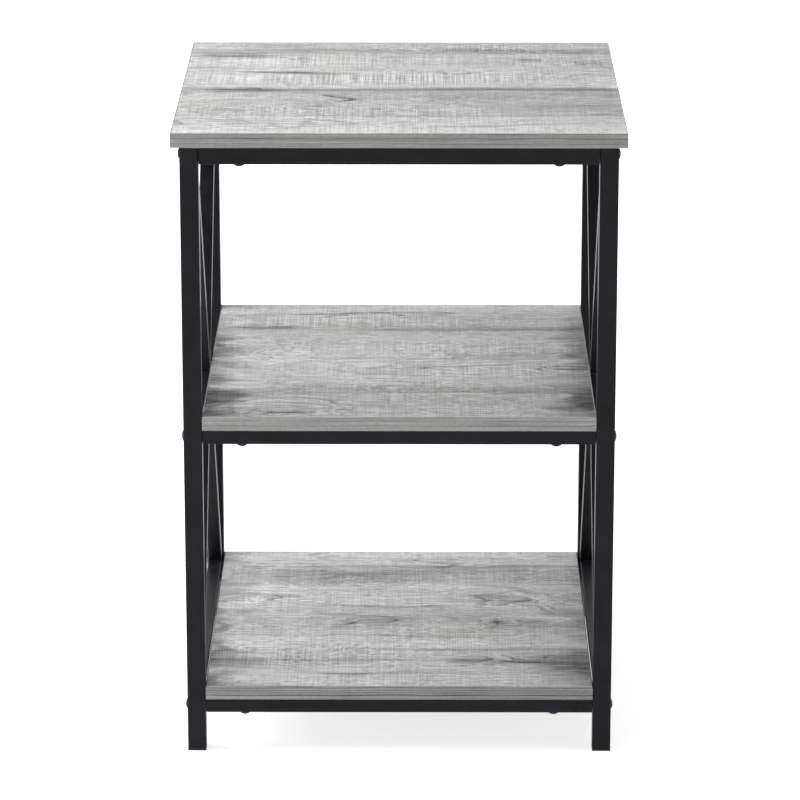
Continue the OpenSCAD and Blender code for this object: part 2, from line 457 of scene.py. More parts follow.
def plank_level(finish, planks, across):
    """The grey level of the planks at a distance across the board."""
    stops = [(ramp_share(y), grey / WHITE_LEVEL) for y, grey in reversed(planks)]
    share = finish.node("ShaderNodeValToRGB", {"stops": stops}, {0: ramp_share(across)})
    return WHITE_LEVEL * share


def patches(finish, ovals, ground):
    """A strength that rises in each oval of a list."""
    total = ground
    for *oval, strength in ovals:
        total = total + strength * finish.spot(*oval)
    return total


def stroke(finish, start, end, half_width):
    """A thin oval from one place on a board to another."""
    (x0, y0), (x1, y1) = start, end
    half_length = STROKE_SHARE * math.hypot(x1 - x0, y1 - y0)
    turn = math.degrees(math.atan2(y1 - y0, x1 - x0))
    return finish.spot((x0 + x1) / 2, (y0 + y1) / 2, half_length, half_width, turn)


def drawn_darkness(finish, drawing):
    """How much darker the streaks, painted shade, rings and cracks make a place, in grey levels."""
    dark = patches(finish, drawing["streaks_and_shade"], 0.0)
    for *oval, count, darkness in drawing["rings"]:
        ring = finish.spot(*oval)
        line = ((ring * count).wave() * 0.5 + 0.5) ** 3
        dark = dark + darkness * line * (RING_FADE * ring).clamped()
    for half_width, darkness, *corners in drawing["cracks"]:
        for start, end in zip(corners, corners[1:]):
            dark = dark + darkness * stroke(finish, start, end, half_width)
    return dark


def parted(finish, knots, across):
    """The distance across a board, stretched round each knot."""
    stretched = across
    for x, y, half_length, half_width, parting in knots:
        pull = finish.spot(x, y, half_length, half_width)
        stretched = stretched - parting * (across - y) * pull
    return stretched


print("front edge of the top board on the ramp:", round(ramp_share(cad_box[0].y / MM), 3))

# %% [markdown]
# The layers and the drawing come together as one sum of grey levels, from 0 to 255. What is drawn
# from the lists lies on the place that wanders, the grain on the one that also parts round the
# knots, and the saw marks on the straight one, because the saw cut the wood after it had grown.
# Lines are strong where the wood is worn, and fine cracks show where it is cracked. Fibres make the
# drawn darkness rough.

# %% Grain
LINE_SHARP = 2.6
CRACK_SHARP = 3.0
WORN_MEAN = 0.7
WORN_RANGE = (0.1, 1.8)
CRACKED_FROM = 0.25
ROUGH_SHARE = 0.3
STREAKY_SHARE = 0.16
CURL_TURN = -25
CURL_GROUND = 0.4
SAW_GROUND = 0.45


def grain_level(finish, drawing, seed):
    """The grey level of the printed wood at each place, and the noise of its fibres."""
    straight = finish.place
    along = finish.axis("X") + full_layer(finish, DRIFT, seed)
    across = finish.axis("Y") + full_layer(finish, BEND, seed) + full_layer(finish, RIPPLE, seed)
    wandering = joined(finish, along, across)
    grey = plank_level(finish, drawing["planks"], across)

    finish.place = wandering
    dark = drawn_darkness(finish, drawing)
    curled = patches(finish, drawing["curls"], CURL_GROUND)
    grey = grey + CURLED.strength * curled * layer(finish, CURLED, seed, CURL_TURN)

    finish.place = joined(finish, along, parted(finish, drawing["knots"], across))
    fibres = layer(finish, FIBRES, seed)
    streaky = layer(finish, STREAKY, seed)
    worn = (WORN_MEAN + full_layer(finish, WORN, seed)).clamped(*WORN_RANGE)
    lines = veins(layer(finish, LINES, seed), LINE_SHARP)
    cracked = (full_layer(finish, CRACKED, seed) - CRACKED_FROM).clamped()
    cracks = veins(layer(finish, CRACKS, seed), CRACK_SHARP)
    grey = grey + FIBRES.strength * fibres + STREAKY.strength * worn * streaky
    grey = grey - LINES.strength * worn * lines - CRACKS.strength * cracked * cracks
    for kind in (BROAD, MOTTLED, FINE):
        grey = grey + full_layer(finish, kind, seed)
    grey = grey - dark * (1 + ROUGH_SHARE * fibres + STREAKY_SHARE * streaky)

    finish.place = straight
    sawn = patches(finish, drawing["saw"], SAW_GROUND)
    grey = grey + SAWN.strength * sawn * layer(finish, SAWN, seed)
    return grey, fibres


print("saw marks against fibres:", round(SAWN.strength / FIBRES.strength, 2))

# %% [markdown]
# The laminate takes its grey from that sum. Its colour drifts between a warm and a cool white, so
# slowly that the eye only sees that it isn't a plain grey, and the fibres also give it a faint
# relief. A Mix node has sockets for numbers and for colours under the same names, so the colour
# ones are named by their number.

# %% Laminate
WARM = (1.0, 0.99, 0.975, 1)
COOL = (0.985, 0.99, 1.0, 1)
FIRST_COLOUR, SECOND_COLOUR, MIXED_COLOUR = 6, 7, 2
LAMINATE_ROUGH = 0.5
FIBRE_GLOSS = 0.02
FIBRE_DEPTH = 0.004


def laminate(name, drawing, seed):
    """The finish of one board."""
    finish = Finish(name, Specular_IOR_Level=0.3)
    grey, fibres = grain_level(finish, drawing, seed)
    cool_share = (0.5 + full_layer(finish, COOLNESS, seed)).clamped()
    colour = finish.node("ShaderNodeMix", {"data_type": "RGBA"}, {
        "Factor": cool_share, FIRST_COLOUR: WARM, SECOND_COLOUR: COOL,
    }, output=MIXED_COLOUR)
    finish.feed("Base Color", finish.printed(colour, grey))
    finish.feed("Roughness", LAMINATE_ROUGH - FIBRE_GLOSS * fibres)
    finish.feed("Normal", finish.bump(fibres, FIBRE_DEPTH))
    return finish


def describe(board, drawing):
    """Prints how many things of each kind are drawn on a board."""
    print(board + ":", {kind: len(places) for kind, places in drawing.items()})


print("fibres stand", FIBRE_DEPTH, "mm high")

# %% [markdown]
# The top board's print, as lists. A plank stop is a distance from the middle and a level. A streak
# is an oval (x, y, half length, half width, turn in degrees) and how much darker it is, and a
# darkness below 0 is a pale patch. The same list also holds painted shade: on the shelves, dark
# ovals at the side edges stand for the shade that the frame casts there. A ring is an oval, a
# number of rings and a darkness. A knot is an oval and how far it parts the grain. A crack is half
# its width, a darkness and the places that it runs through. Curls and saw marks are ovals and
# strengths.

# %% Top board
TOP_PRINT = {
    "planks": [
        (228, 191), (188, 187), (184, 172), (168, 170), (163, 196), (90, 202), (0, 205), (-9, 202),
        (-14, 181), (-28, 175), (-34, 185), (-90, 191), (-145, 191), (-150, 207), (-190, 214),
        (-228, 228),
    ],
    "streaks_and_shade": [
        (0, 185, 300, 4, 0, 28), (60, -20, 330, 9, 0, 23), (40, -147, 250, 4, 0, 34),
        (-160, 154, 50, 18, 0, 66), (-207, 158, 26, 14, 0, 47), (-178, 168, 70, 6, 0, 23),
        (-105, 65, 46, 12, 0, 62), (-140, 68, 60, 6, 0, 28), (-200, 90, 60, 8, 0, 38),
        (-166, -20, 56, 14, 0, 62), (-105, -20, 100, 9, 0, 32), (110, -19, 210, 14, 0, 43),
        (205, -18, 70, 14, 0, 32), (-70, -56, 34, 10, -24, 70), (-50, -70, 14, 11, -60, 79),
        (-50, -60, 50, 8, -20, 24), (0, 187, 240, 5, 0, 17), (120, 174, 150, 14, 0, 21),
        (66, 190, 8, 14, 30, 43), (82, 184, 7, 12, -20, 32), (100, 183, 36, 12, 0, 24),
        (135, 182, 12, 14, 20, 32), (190, 185, 30, 12, 0, 23), (16, 188, 16, 16, 0, -38),
        (50, 64, 5, 12, 20, 38), (76, 62, 14, 9, 0, 56), (96, 66, 5, 12, -20, 38),
        (120, 66, 16, 10, 0, -24), (18, 66, 4, 13, 10, 34), (-10, 66, 16, 9, 0, -28),
        (132, 132, 14, 16, -20, 47), (112, 108, 50, 26, 0, 23), (203, 118, 8, 14, 30, 41),
        (190, 112, 7, 12, 30, 32), (190, 58, 34, 6, 5, 28), (60, -60, 70, 34, 0, 28),
        (160, -100, 110, 44, 0, 28), (190, -142, 90, 7, 0, 32), (150, -45, 120, 16, 0, 21),
        (-160, 118, 66, 30, 0, -24), (-170, 40, 70, 20, 0, -23), (-190, -56, 60, 24, 0, -13),
        (-72, -173, 26, 10, -28, 38), (-172, -171, 46, 5, -22, 28), (-217, -180, 12, 24, 0, 32),
        (215, 120, 80, 90, 0, 19), (230, -100, 60, 120, 0, 15), (-190, -209, 60, 24, 0, -15),
        (-60, 57, 60, 20, 0, 9), (-200, 200, 90, 50, 0, -13), (-86, -84, 30, 30, 0, 13),
        (-160, 110, 120, 60, 0, -9), (150, 14, 110, 16, 0, -9), (-200, -70, 60, 50, 0, -13),
        (110, -191, 170, 5, 8, 32), (150, -168, 90, 6, 0, 24), (-100, -200, 110, 6, 10, 19),
    ],
    "rings": [
        (-190, -180, 150, 34, -6, 4, 26), (-50, -66, 46, 22, -40, 3, 20),
    ],
    "knots": [
        (-160, 154, 70, 34, 0.7), (-62, -62, 60, 36, 0.8), (-166, -20, 70, 26, 0.6),
    ],
    "cracks": [
        (3.0, 70, (-181, 153), (-138, 155)), (3.0, 47, (-228, 161), (-196, 158), (-170, 147)),
        (2.5, 39, (-228, 93), (-178, 96)), (3.0, 70, (-158, 68), (-128, 67), (-92, 64)),
        (1.8, 47, (-13, 68), (-11, 56)), (1.8, 47, (16, 68), (17, 56)),
        (2.2, 55, (49, 63), (61, 56), (74, 58)), (1.8, 47, (96, 68), (97, 56)),
        (2.2, 55, (154, 58), (171, 66)), (1.8, 55, (194, 68), (195, 56), (171, 46)),
        (1.8, 62, (189, 118), (201, 106)), (1.8, 55, (204, 121), (211, 111)),
        (2.0, 47, (129, 128), (139, 116)), (2.6, 70, (-201, -17), (-171, -22)),
        (3.0, 86, (-171, -22), (-163, -14), (-148, -14), (-139, -24)),
        (2.6, 23, (-138, -20), (-20, -17), (100, -21), (228, -24)),
        (3.2, 117, (-88, -49), (-63, -56), (-51, -64), (-53, -74)),
        (1.8, 94, (-46, -56), (-42, -71), (-53, -78)),
        (2.6, 47, (-213, -161), (-206, -176), (-218, -191)), (2.4, 39, (-178, -159), (-143, -186)),
        (3.0, 62, (-113, -161), (-78, -171), (-58, -184)),
        (2.6, 34, (11, -201), (121, -189), (228, -181)),
        (2.4, 28, (-113, -187), (-3, -182), (60, -168)),
    ],
    "curls": [
        (-100, -120, 170, 50, 0, 2.6), (90, 186, 150, 34, 0, 3.0), (40, 64, 170, 18, 0, 2.0),
        (40, -70, 120, 50, 0, 1.4), (150, 120, 90, 50, 0, 1.6),
    ],
    "saw": [
        (-20, 30, 230, 46, 0, 2.6), (-100, 120, 200, 60, 0, 1.0), (-60, -120, 200, 60, 0, 0.8),
        (70, 190, 200, 34, 0, 0.8), (0, -190, 260, 50, 0, 0.8), (150, 110, 120, 60, 0, 0.8),
    ],
}

dress(["top_board"], laminate("top board laminate", TOP_PRINT, 0.0))
describe("top board", TOP_PRINT)

# %% [markdown]
# The middle shelf's print. Its middle plank shows cathedral arches, which are the tips of long thin
# ovals, so they are drawn as rings too. Both ends are darker with painted shade, for the shade that
# the legs and braces of the frame cast there.

# %% Middle shelf
MIDDLE_PRINT = {
    "planks": [
        (222, 211), (190, 210), (184, 197), (150, 199), (122, 188), (112, 193), (95, 201), (2, 207),
        (-5, 217), (-70, 217), (-100, 205), (-131, 186), (-136, 197), (-190, 201), (-222, 206),
    ],
    "streaks_and_shade": [
        (0, -2, 260, 4, 0, 25), (40, -131, 230, 5, 0, 15), (-70, 181, 90, 6, 4, 38),
        (-20, 187, 60, 6, 4, 28), (48, 180, 34, 6, -28, 34), (-7, 176, 5, 12, 10, 48),
        (-78, 172, 10, 9, 60, 42), (-42, 174, 18, 10, 0, -19), (-160, 172, 30, 12, 0, 25),
        (-150, 122, 56, 16, 0, 48), (-122, 125, 22, 12, 0, 42), (120, 118, 190, 10, 0, 37),
        (0, 108, 120, 14, 0, 12), (60, 12, 24, 18, 0, 31), (120, 12, 34, 12, 0, 34),
        (158, 18, 20, 14, 60, 29), (44, -38, 46, 7, 6, 39), (152, -42, 5, 20, 0, 56),
        (166, -34, 22, 8, 20, 42), (14, -85, 5, 20, 0, 31), (-90, -106, 60, 14, 14, 29),
        (-20, -115, 70, 16, 0, 31), (100, -122, 150, 14, 0, 23), (-170, -143, 70, 12, -8, 40),
        (-125, -202, 36, 10, 0, 52), (-150, -190, 20, 12, -30, 25), (-110, 190, 60, 16, 0, -13),
        # Painted shade: the dark ovals near x = ±200 stand for the shade that the legs and braces cast
        # on the ends of the shelf.
        (-140, 30, 60, 60, 0, -24), (-130, -60, 80, 26, -10, -26), (-198, 66, 32, 34, 0, 56),
        (-199, -166, 46, 66, 0, 137), (200, -176, 48, 62, 0, 120), (208, -20, 44, 250, 0, 86),
        (-206, -20, 26, 230, 0, 68), (-198, -76, 34, 44, 0, 51), (-120, -205, 40, 14, 0, -13),
        (-145, -20, 50, 30, 0, -11), (190, 120, 40, 30, 0, 19), (-131, -128, 40, 20, 0, 13),
    ],
    "rings": [
        (170, -36, 360, 62, 0, 7, 26), (-135, -215, 130, 90, 30, 6, 26),
    ],
    "knots": [
        (-150, 122, 70, 30, 0.6), (-125, -202, 70, 40, 0.7), (155, -40, 40, 30, 0.6),
    ],
    "cracks": [
        (2.6, 62, (-110, 178), (-75, 181), (-45, 186), (-5, 186), (35, 189), (65, 180)),
        (1.8, 70, (-78, 178), (-72, 168)), (1.8, 70, (-10, 182), (-5, 170)),
        (1.8, 47, (-45, 170), (-35, 180)), (2.6, 36, (-176, 124), (-150, 119), (-120, 122)),
        (2.4, 31, (-100, 112), (60, 113), (200, 116)),
        (2.0, 31, (-200, -2), (-60, -3), (90, -4), (200, -2)),
        (2.2, 47, (25, -20), (-25, -17), (-52, -22), (-57, -40), (-35, -55), (10, -54)),
        (2.4, 62, (-5, -30), (-7, -40), (10, -45), (50, -35), (110, -27)),
        (2.0, 86, (145, -30), (150, -52)), (2.0, 55, (150, -32), (165, -37), (176, -34)),
        (1.8, 55, (7, -85), (12, -100)), (1.8, 47, (17, -82), (18, -98)),
        (2.2, 55, (-110, -147), (-85, -160), (-50, -175), (0, -180)),
        (2.2, 47, (-115, -155), (-92, -170), (-60, -185)),
        (2.2, 55, (-135, -175), (-105, -185), (-75, -192), (-40, -196)),
        (3.0, 94, (-142, -208), (-125, -201), (-104, -206)), (2.2, 39, (-180, -138), (-130, -132)),
        (2.0, 28, (-20, -130), (100, -133), (200, -130)),
    ],
    "curls": [
        (-140, 28, 80, 66, 20, 3.4), (60, 30, 150, 60, 0, 2.2), (0, -110, 140, 40, 0, 2.0),
        (-40, 172, 90, 20, 0, 1.6), (120, -190, 120, 40, 0, 1.0),
    ],
    "saw": [
        (-70, 160, 190, 44, 0, 1.2), (60, -60, 200, 60, 0, 0.5), (60, 40, 140, 50, 0, 0.4),
        (60, -180, 160, 50, 0, 0.5),
    ],
}

dress(["middle_shelf"], laminate("middle shelf laminate", MIDDLE_PRINT, 20.0))
describe("middle shelf", MIDDLE_PRINT)

# %% [markdown]
# The bottom shelf's print. It has the most knots, and its grain sags between two of them, which
# long cracks with a bend in them show. Its ends carry painted shade, for the shade of the legs and
# the low ends of the braces.

# %% Bottom shelf
BOTTOM_PRINT = {
    "planks": [
        (222, 217), (176, 211), (166, 186), (140, 180), (104, 194), (98, 209), (40, 207), (20, 194),
        (-20, 190), (-68, 200), (-72, 216), (-104, 216), (-110, 204), (-140, 202), (-146, 208),
        (-190, 215), (-222, 215),
    ],
    "streaks_and_shade": [
        (60, 168, 260, 4, 0, 22), (60, -107, 240, 4, 0, 22), (0, -142, 230, 4, 0, 12),
        (130, 165, 150, 7, 0, 32), (55, 172, 22, 18, 0, 48), (-86, 142, 56, 16, 0, 48),
        (-25, 143, 44, 16, 0, 48), (-76, 120, 26, 22, -30, 41), (-20, 126, 50, 16, -10, 22),
        (60, 148, 90, 16, 0, 22), (-155, 72, 50, 7, -8, 37), (-130, 56, 6, 18, 12, 73),
        (-118, 66, 24, 8, -20, 39), (-30, 31, 130, 5, -2, 34), (102, 64, 44, 14, -4, 46),
        (130, 50, 8, 22, 0, 56), (112, 46, 36, 14, 0, 34), (86, 46, 14, 10, 35, 50),
        (74, 58, 18, 10, 30, 48), (132, 86, 60, 9, -22, 31), (160, 22, 56, 5, -52, 42),
        (176, 40, 50, 4, -40, 31), (178, 62, 46, 4, -25, 25), (62, -14, 34, 5, -36, 44),
        (98, -23, 26, 9, -32, 40), (128, -25, 34, 12, 0, 20), (-45, -25, 20, 10, 0, 68),
        (-18, -14, 18, 18, 0, 64), (-165, 14, 24, 9, 0, 37), (-60, 4, 80, 12, -10, 22),
        (-20, -64, 120, 7, 0, 22), (70, -107, 170, 7, 0, 31), (-30, -141, 110, 5, 0, 20),
        (72, -139, 36, 9, 26, 56), (128, -144, 74, 10, -2, 71), (115, -131, 6, 12, 20, 50),
        (82, -152, 16, 8, 0, 42), (-60, -183, 70, 6, 0, 42), (30, -179, 90, 5, 0, 31),
        (-150, 44, 44, 24, 0, -21), (142, -4, 40, 26, 0, -24), (-160, -180, 60, 40, 0, -13),
        # Painted shade: the dark ovals near x = ±200 stand for the shade that the legs and the low
        # ends of the braces cast on the ends of the shelf.
        (-120, 96, 90, 16, 0, -13), (-198, -134, 54, 32, 0, 117), (-198, -207, 14, 12, 0, 42),
        (196, -162, 60, 62, 0, 115), (208, -50, 40, 220, 0, 58), (-206, -60, 22, 220, 0, 68),
        (-160, 188, 70, 44, 0, -23), (10, 165, 160, 14, 0, 15), (-130, -190, 70, 36, 0, -24),
        (20, 130, 60, 30, 0, 13), (-188, 82, 34, 44, 0, 36), (164, -125, 5, 12, -20, 42),
        (-135, 158, 40, 26, 0, -30), (-196, -92, 32, 24, 0, 28), (132, 60, 40, 40, 0, -13),
    ],
    "rings": [
        (-30, -20, 60, 26, 10, 3, 22), (104, -20, 60, 26, -20, 3, 22),
    ],
    "knots": [
        (-138, 62, 90, 60, 0.8), (110, 54, 100, 60, 0.8), (-35, -20, 70, 30, 0.7),
        (104, -24, 70, 34, 0.7),
    ],
    "cracks": [
        (2.0, 70, (20, 189), (35, 185), (50, 175), (45, 170)),
        (1.8, 86, (-132, 72), (-128, 56), (-122, 46)),
        (2.0, 47, (-122, 46), (-100, 39), (-50, 31), (0, 28), (35, 31), (52, 36)),
        (2.0, 34, (-112, 80), (-75, 61), (-25, 53), (25, 56), (65, 65)),
        (2.0, 31, (-105, 87), (-70, 71), (-25, 65), (30, 68), (70, 76)),
        (2.0, 31, (-90, 92), (-60, 82), (-20, 77), (40, 80), (80, 90)),
        (2.4, 94, (72, 60), (85, 52), (100, 50), (127, 52)),
        (2.0, 94, (130, 53), (130, 36), (118, 34)), (2.6, 70, (76, 67), (100, 68), (125, 64)),
        (2.0, 55, (130, 52), (150, 30), (172, 8)), (2.0, 47, (135, 56), (160, 35), (184, 18)),
        (2.2, 47, (118, 87), (140, 80), (160, 70)), (2.4, 101, (-50, -25), (-36, -24)),
        (2.4, 78, (-27, -10), (-12, -24)), (2.0, 39, (-105, 0), (-75, 8), (-35, 0), (-20, -12)),
        (2.0, 47, (-68, -14), (-50, -20)), (2.0, 55, (45, -5), (70, -12), (85, -25)),
        (2.4, 70, (90, -17), (107, -27)), (2.4, 31, (107, -15), (142, -25)),
        (2.0, 55, (-175, 12), (-155, 14)), (2.6, 86, (65, -147), (80, -138), (92, -130)),
        (2.8, 117, (98, -140), (125, -145), (163, -147)), (1.8, 86, (112, -138), (117, -129)),
        (1.8, 62, (116, -137), (131, -136)), (2.0, 70, (160, -125), (167, -136)),
        (2.2, 24, (-150, -140), (-65, -142)), (2.2, 30, (-30, -141), (35, -142)),
        (2.4, 70, (-100, -182), (-35, -181)), (2.2, 39, (-35, -180), (50, -175)),
        (2.2, 31, (-60, -63), (60, -66), (120, -60)),
    ],
    "curls": [
        (-60, -112, 150, 36, 0, 2.4), (-40, 112, 120, 40, 0, 1.8), (60, -50, 150, 40, 0, 1.2),
    ],
    "saw": [
        (-110, -130, 140, 60, 0, 0.7), (20, -85, 220, 40, 0, 0.6), (40, 130, 200, 60, 0, 0.3),
        (-60, 50, 160, 50, 0, 0.3), (0, -190, 200, 40, 0, 0.8),
    ],
}

dress(["bottom_shelf"], laminate("bottom shelf laminate", BOTTOM_PRINT, 40.0))
describe("bottom shelf", BOTTOM_PRINT)

# %% [markdown]
# The exact model knows where everything is, so the pieces that follow ask it for their sizes, and
# fit even if it changes.

# %% Sizes from the exact model
def extent(node):
    """The lowest and the highest corner of a part, in millimetres."""
    low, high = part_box(node)
    return low / MM, high / MM


def middle(node):
    """The middle of a part, in millimetres."""
    low, high = extent(node)
    return (low + high) / 2


print("middle of the top board in mm:", [round(side, 1) for side in middle("top_board")])

# %% [markdown]
# New pieces are modelled as by hand. Before each one everything is deselected, because an operator
# acts on all that is selected, and what was loaded or added last still is. A face or an edge is
# picked by where it is. When a piece is shaped, its place goes into its mesh, it gets its finish,
# and it rides on the table.

# %% Modelling helpers
def pick(piece, kind, passes):
    """In edit mode, selects the faces or edges whose corners all pass a test in millimetres."""
    bpy.ops.mesh.select_mode(type=kind)
    bpy.ops.mesh.select_all(action="DESELECT")
    shape = bmesh.from_edit_mesh(piece.data)
    for part in shape.faces if kind == "FACE" else shape.edges:
        if all(passes(corner.co / MM) for corner in part.verts):
            part.select_set(True)
    bmesh.update_edit_mesh(piece.data)


def select_only(*pieces):
    bpy.ops.object.select_all(action="DESELECT")
    for piece in pieces:
        piece.select_set(True)
    bpy.context.view_layer.objects.active = pieces[0]


def place_in_mesh(piece):
    select_only(piece)
    bpy.ops.object.transform_apply(location=True, rotation=True, scale=True)


def made_one(name, pieces):
    """Joins pieces into one with a name."""
    select_only(*pieces)
    bpy.ops.object.join()
    piece = bpy.context.object
    piece.name = name
    return piece


def settle(piece, finish, slot_name, *replaced):
    """Gives a finished piece its finish and its place in the table."""
    piece.data.materials.clear()
    piece.data.materials.append(finish.material)
    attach(piece, "root")
    if replaced:
        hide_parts(*replaced)
    print(piece.name + ":", len(piece.data.polygons), "faces")


print("still selected:", [piece.name for piece in bpy.context.selected_objects])

# %% [markdown]
# A thin strip of the same print covers each edge of a board. A real strip is glued on and its
# outer edges are scraped to a small round, which catches the light along the top of the board.
# One strip is a bar whose outer edges get a bevel, and four of them make the band round a board.
# Weighted normals keep its flat faces looking flat beside the bevels.

# %% Edge strips
STRIP_THICK = 1.0
CORNER_GAP = 0.1
EASED = 0.3
EASED_STEPS = 3


def strip(length, out, low, high, turn):
    """One strip, made at the front of a board and turned to its side of it."""
    half_deep = STRIP_THICK / 2 - out
    bpy.ops.object.select_all(action="DESELECT")
    bpy.ops.mesh.primitive_cube_add(
        size=MM,
        location=Vector((0, half_deep, (low + high) / 2)) * MM,
        scale=(length, STRIP_THICK, high - low),
    )
    piece = bpy.context.object
    place_in_mesh(piece)
    bpy.ops.object.mode_set(mode="EDIT")
    pick(piece, "EDGE", lambda corner: corner.y < half_deep)
    bpy.ops.mesh.bevel(offset=EASED * MM, segments=EASED_STEPS, affect="EDGES")
    bpy.ops.object.mode_set(mode="OBJECT")
    bpy.ops.object.shade_smooth_by_angle(angle=math.radians(40))
    piece.rotation_euler.z = math.radians(turn)
    place_in_mesh(piece)
    return piece


def edge_band(board):
    """The four strips round one board."""
    low, high = extent(board + "_edging")
    side_length = 2 * (high.y - STRIP_THICK - CORNER_GAP)
    strips = [strip(2 * high.x, high.y, low.z, high.z, turn) for turn in (0, 180)]
    strips += [strip(side_length, high.x, low.z, high.z, turn) for turn in (90, -90)]
    band = made_one(board + "_edge_band", strips)
    select_only(band)
    bpy.ops.object.modifier_add(type="WEIGHTED_NORMAL")
    bpy.ops.object.modifier_apply(modifier=band.modifiers[0].name)
    return band


bands = {board: edge_band(board) for board in ("top_board", "middle_shelf", "bottom_shelf")}
print("edge bands:", len(bands))

# %% [markdown]
# The strips are printed with lines that run along them, like thin layers of wood. Each board has
# the grey level of its strips, how much painted shade darkens the top of its side strips, where the
# board meets the side frame, and its lines.
# A line is a depth below the top of the board and half its thickness, both in millimetres, and a
# darkness. The lines waver a little and fade here and there, as printed ones do.

# %% Edge strip finish
# Each board: grey level, painted shade at the tops of the side strips, lines.
STRIP_PRINTS = {
    "top_board": (204, 0, [
        (0.5, 0.9, 34), (2.9, 0.5, 12), (5.3, 0.8, 60), (6.7, 0.5, 22), (10.8, 0.7, 34),
        (13.2, 0.5, 14),
    ]),
    "middle_shelf": (211, 50, [
        (1.6, 0.5, 26), (4.6, 0.7, 36), (6.4, 0.4, 20), (9.6, 0.8, 50), (12.4, 0.5, 22),
    ]),
    "bottom_shelf": (197, 130, [
        (2.0, 0.9, 54), (4.9, 0.8, 66), (7.2, 0.7, 48), (10.1, 0.9, 96), (13.9, 0.8, 34),
    ]),
}
STRIP_TINT = (1.0, 0.995, 0.98)
STRIP_ROUGH = 0.6
SIDE_SHADE_DEPTH = 2.0
SIDE_SHARP = 4
WAVER, WAVER_SIZE = 0.25, (60, 60, THROUGH)
STRIP_FIBRES, STRIP_FIBRE_SIZE = 5, (40, 40, 0.7)
BANDS, BAND_SIZE = 5, (140, 140, 2.2)
SPECKS, SPECK_SIZE = 3, (5, 5, 3)
FADING, FADING_SIZE, FADING_RANGE = 0.2, (70, 70, THROUGH), (0.3, 1.7)
STRIP_SEEDS = 10.0


def strip_finish(board, ground, side_shade, lines, seed):
    """The finish of the strips round one board."""
    top = extent(board)[1]
    finish = Finish(board + " edge print", Specular_IOR_Level=0.1)
    depth = top.z - finish.axis("Z") + WAVER * finish.noise(WAVER_SIZE, 1, seed)
    fibres = finish.noise(STRIP_FIBRE_SIZE, 2, seed + 1)
    grey = ground + STRIP_FIBRES * fibres + BANDS * finish.noise(BAND_SIZE, 2, seed + 2)
    grey = grey + SPECKS * finish.noise(SPECK_SIZE, 1, seed + 3)
    fade = (1 + FADING * finish.noise(FADING_SIZE, 1, seed + 4)).clamped(*FADING_RANGE)
    for below, half, darkness in lines:
        grey = grey - darkness * fade * (1 - abs(depth - below) / half).clamped()
    at_side = ((abs(finish.axis("X")) - top.x) * SIDE_SHARP).clamped()
    # Painted shade: the tops of the side strips darken, for the dark gap beside the side frame.
    grey = grey - side_shade * at_side * (1 - depth / SIDE_SHADE_DEPTH).clamped()
    finish.feed("Base Color", finish.printed(STRIP_TINT, grey))
    finish.feed("Roughness", STRIP_ROUGH - FIBRE_GLOSS * fibres)
    finish.feed("Normal", finish.bump(fibres, FIBRE_DEPTH))
    return finish


for number, (board, (ground, side_shade, lines)) in enumerate(STRIP_PRINTS.items()):
    finish = strip_finish(board, ground, side_shade, lines, STRIP_SEEDS * number)
    settle(bands[board], finish, "edging_strip", board + "_edging")

# %% [markdown]
# The braces are welded into the frame. A weld bead looks like a row of small coins that have slid
# over each other, because the welder stops after each drop. One bead is a disc that is extruded
# step by step, and at each step it grows or shrinks. Every drop swells quickly, is widest a little
# past its middle, and ends in a neck.

# %% One weld bead
BEAD_LENGTH = 15.0
BEAD_RADIUS = 2.2
BEAD_TIP = 0.8
BEAD_SIDES = 12
DROPS = 10
DROP_SIZES = (1.0, 0.93, 1.03, 0.97, 0.9)
SWOLLEN_AT, SWOLLEN = 0.2, 0.95
WIDEST_AT = 0.55
NECK = 0.84

drop_length = BEAD_LENGTH / DROPS
outline = [(-BEAD_LENGTH / 2, BEAD_TIP)]
for drop in range(DROPS):
    start = drop * drop_length - BEAD_LENGTH / 2
    radius = BEAD_RADIUS * DROP_SIZES[drop % len(DROP_SIZES)]
    outline.append((start + SWOLLEN_AT * drop_length, SWOLLEN * radius))
    outline.append((start + WIDEST_AT * drop_length, radius))
    outline.append((start + drop_length, NECK * radius if drop < DROPS - 1 else BEAD_TIP))

bpy.ops.object.select_all(action="DESELECT")
bpy.ops.mesh.primitive_circle_add(
    vertices=BEAD_SIDES, radius=BEAD_TIP * MM, fill_type="NGON",
    location=(outline[0][0] * MM, 0, 0), rotation=(0, math.pi / 2, 0),
)
bead = bpy.context.object
place_in_mesh(bead)
bpy.ops.object.mode_set(mode="EDIT")
bpy.ops.mesh.select_all(action="SELECT")
for (last_x, last_radius), (x, radius) in zip(outline, outline[1:]):
    bpy.ops.mesh.extrude_region_move(TRANSFORM_OT_translate={"value": ((x - last_x) * MM, 0, 0)})
    growth = radius / last_radius
    bpy.ops.transform.resize(value=(1, growth, growth), center_override=(x * MM, 0, 0))
bpy.ops.mesh.select_all(action="SELECT")
bpy.ops.mesh.normals_make_consistent(inside=False)
bpy.ops.object.mode_set(mode="OBJECT")
bpy.ops.object.shade_smooth_by_angle(angle=math.radians(60))
print("one bead:", len(bead.data.polygons), "faces")

# %% [markdown]
# Every other bead is a copy of that one, laid in the corner between two tubes and half sunk in
# them. Each brace meets the frame in a corner: above at the top rail and the leg, below at the low
# rail and the leg. In the middle the two halves of the second brace meet the long one. The low side
# rail has one more bead under each end. A mitre is how far the end of a brace reaches along the
# rail and along the leg.

# %% Welds on both sides
TOP_MITRE = (15.8, 3.5)
LOW_MITRE = (14.4, 5.5)
BESIDE_CROSSING = 9.17
OVER_CROSSING = 13.04


def copied_to(name, model, places):
    """Copies a model to each place, joins the copies into one piece, and removes the model."""
    copies = []
    for place in places:
        select_only(model)
        bpy.ops.object.duplicate(linked=False)
        copies.append(bpy.context.object)
        copies[-1].matrix_world = place
        place_in_mesh(copies[-1])
    bpy.data.objects.remove(model)
    return made_one(name, copies)


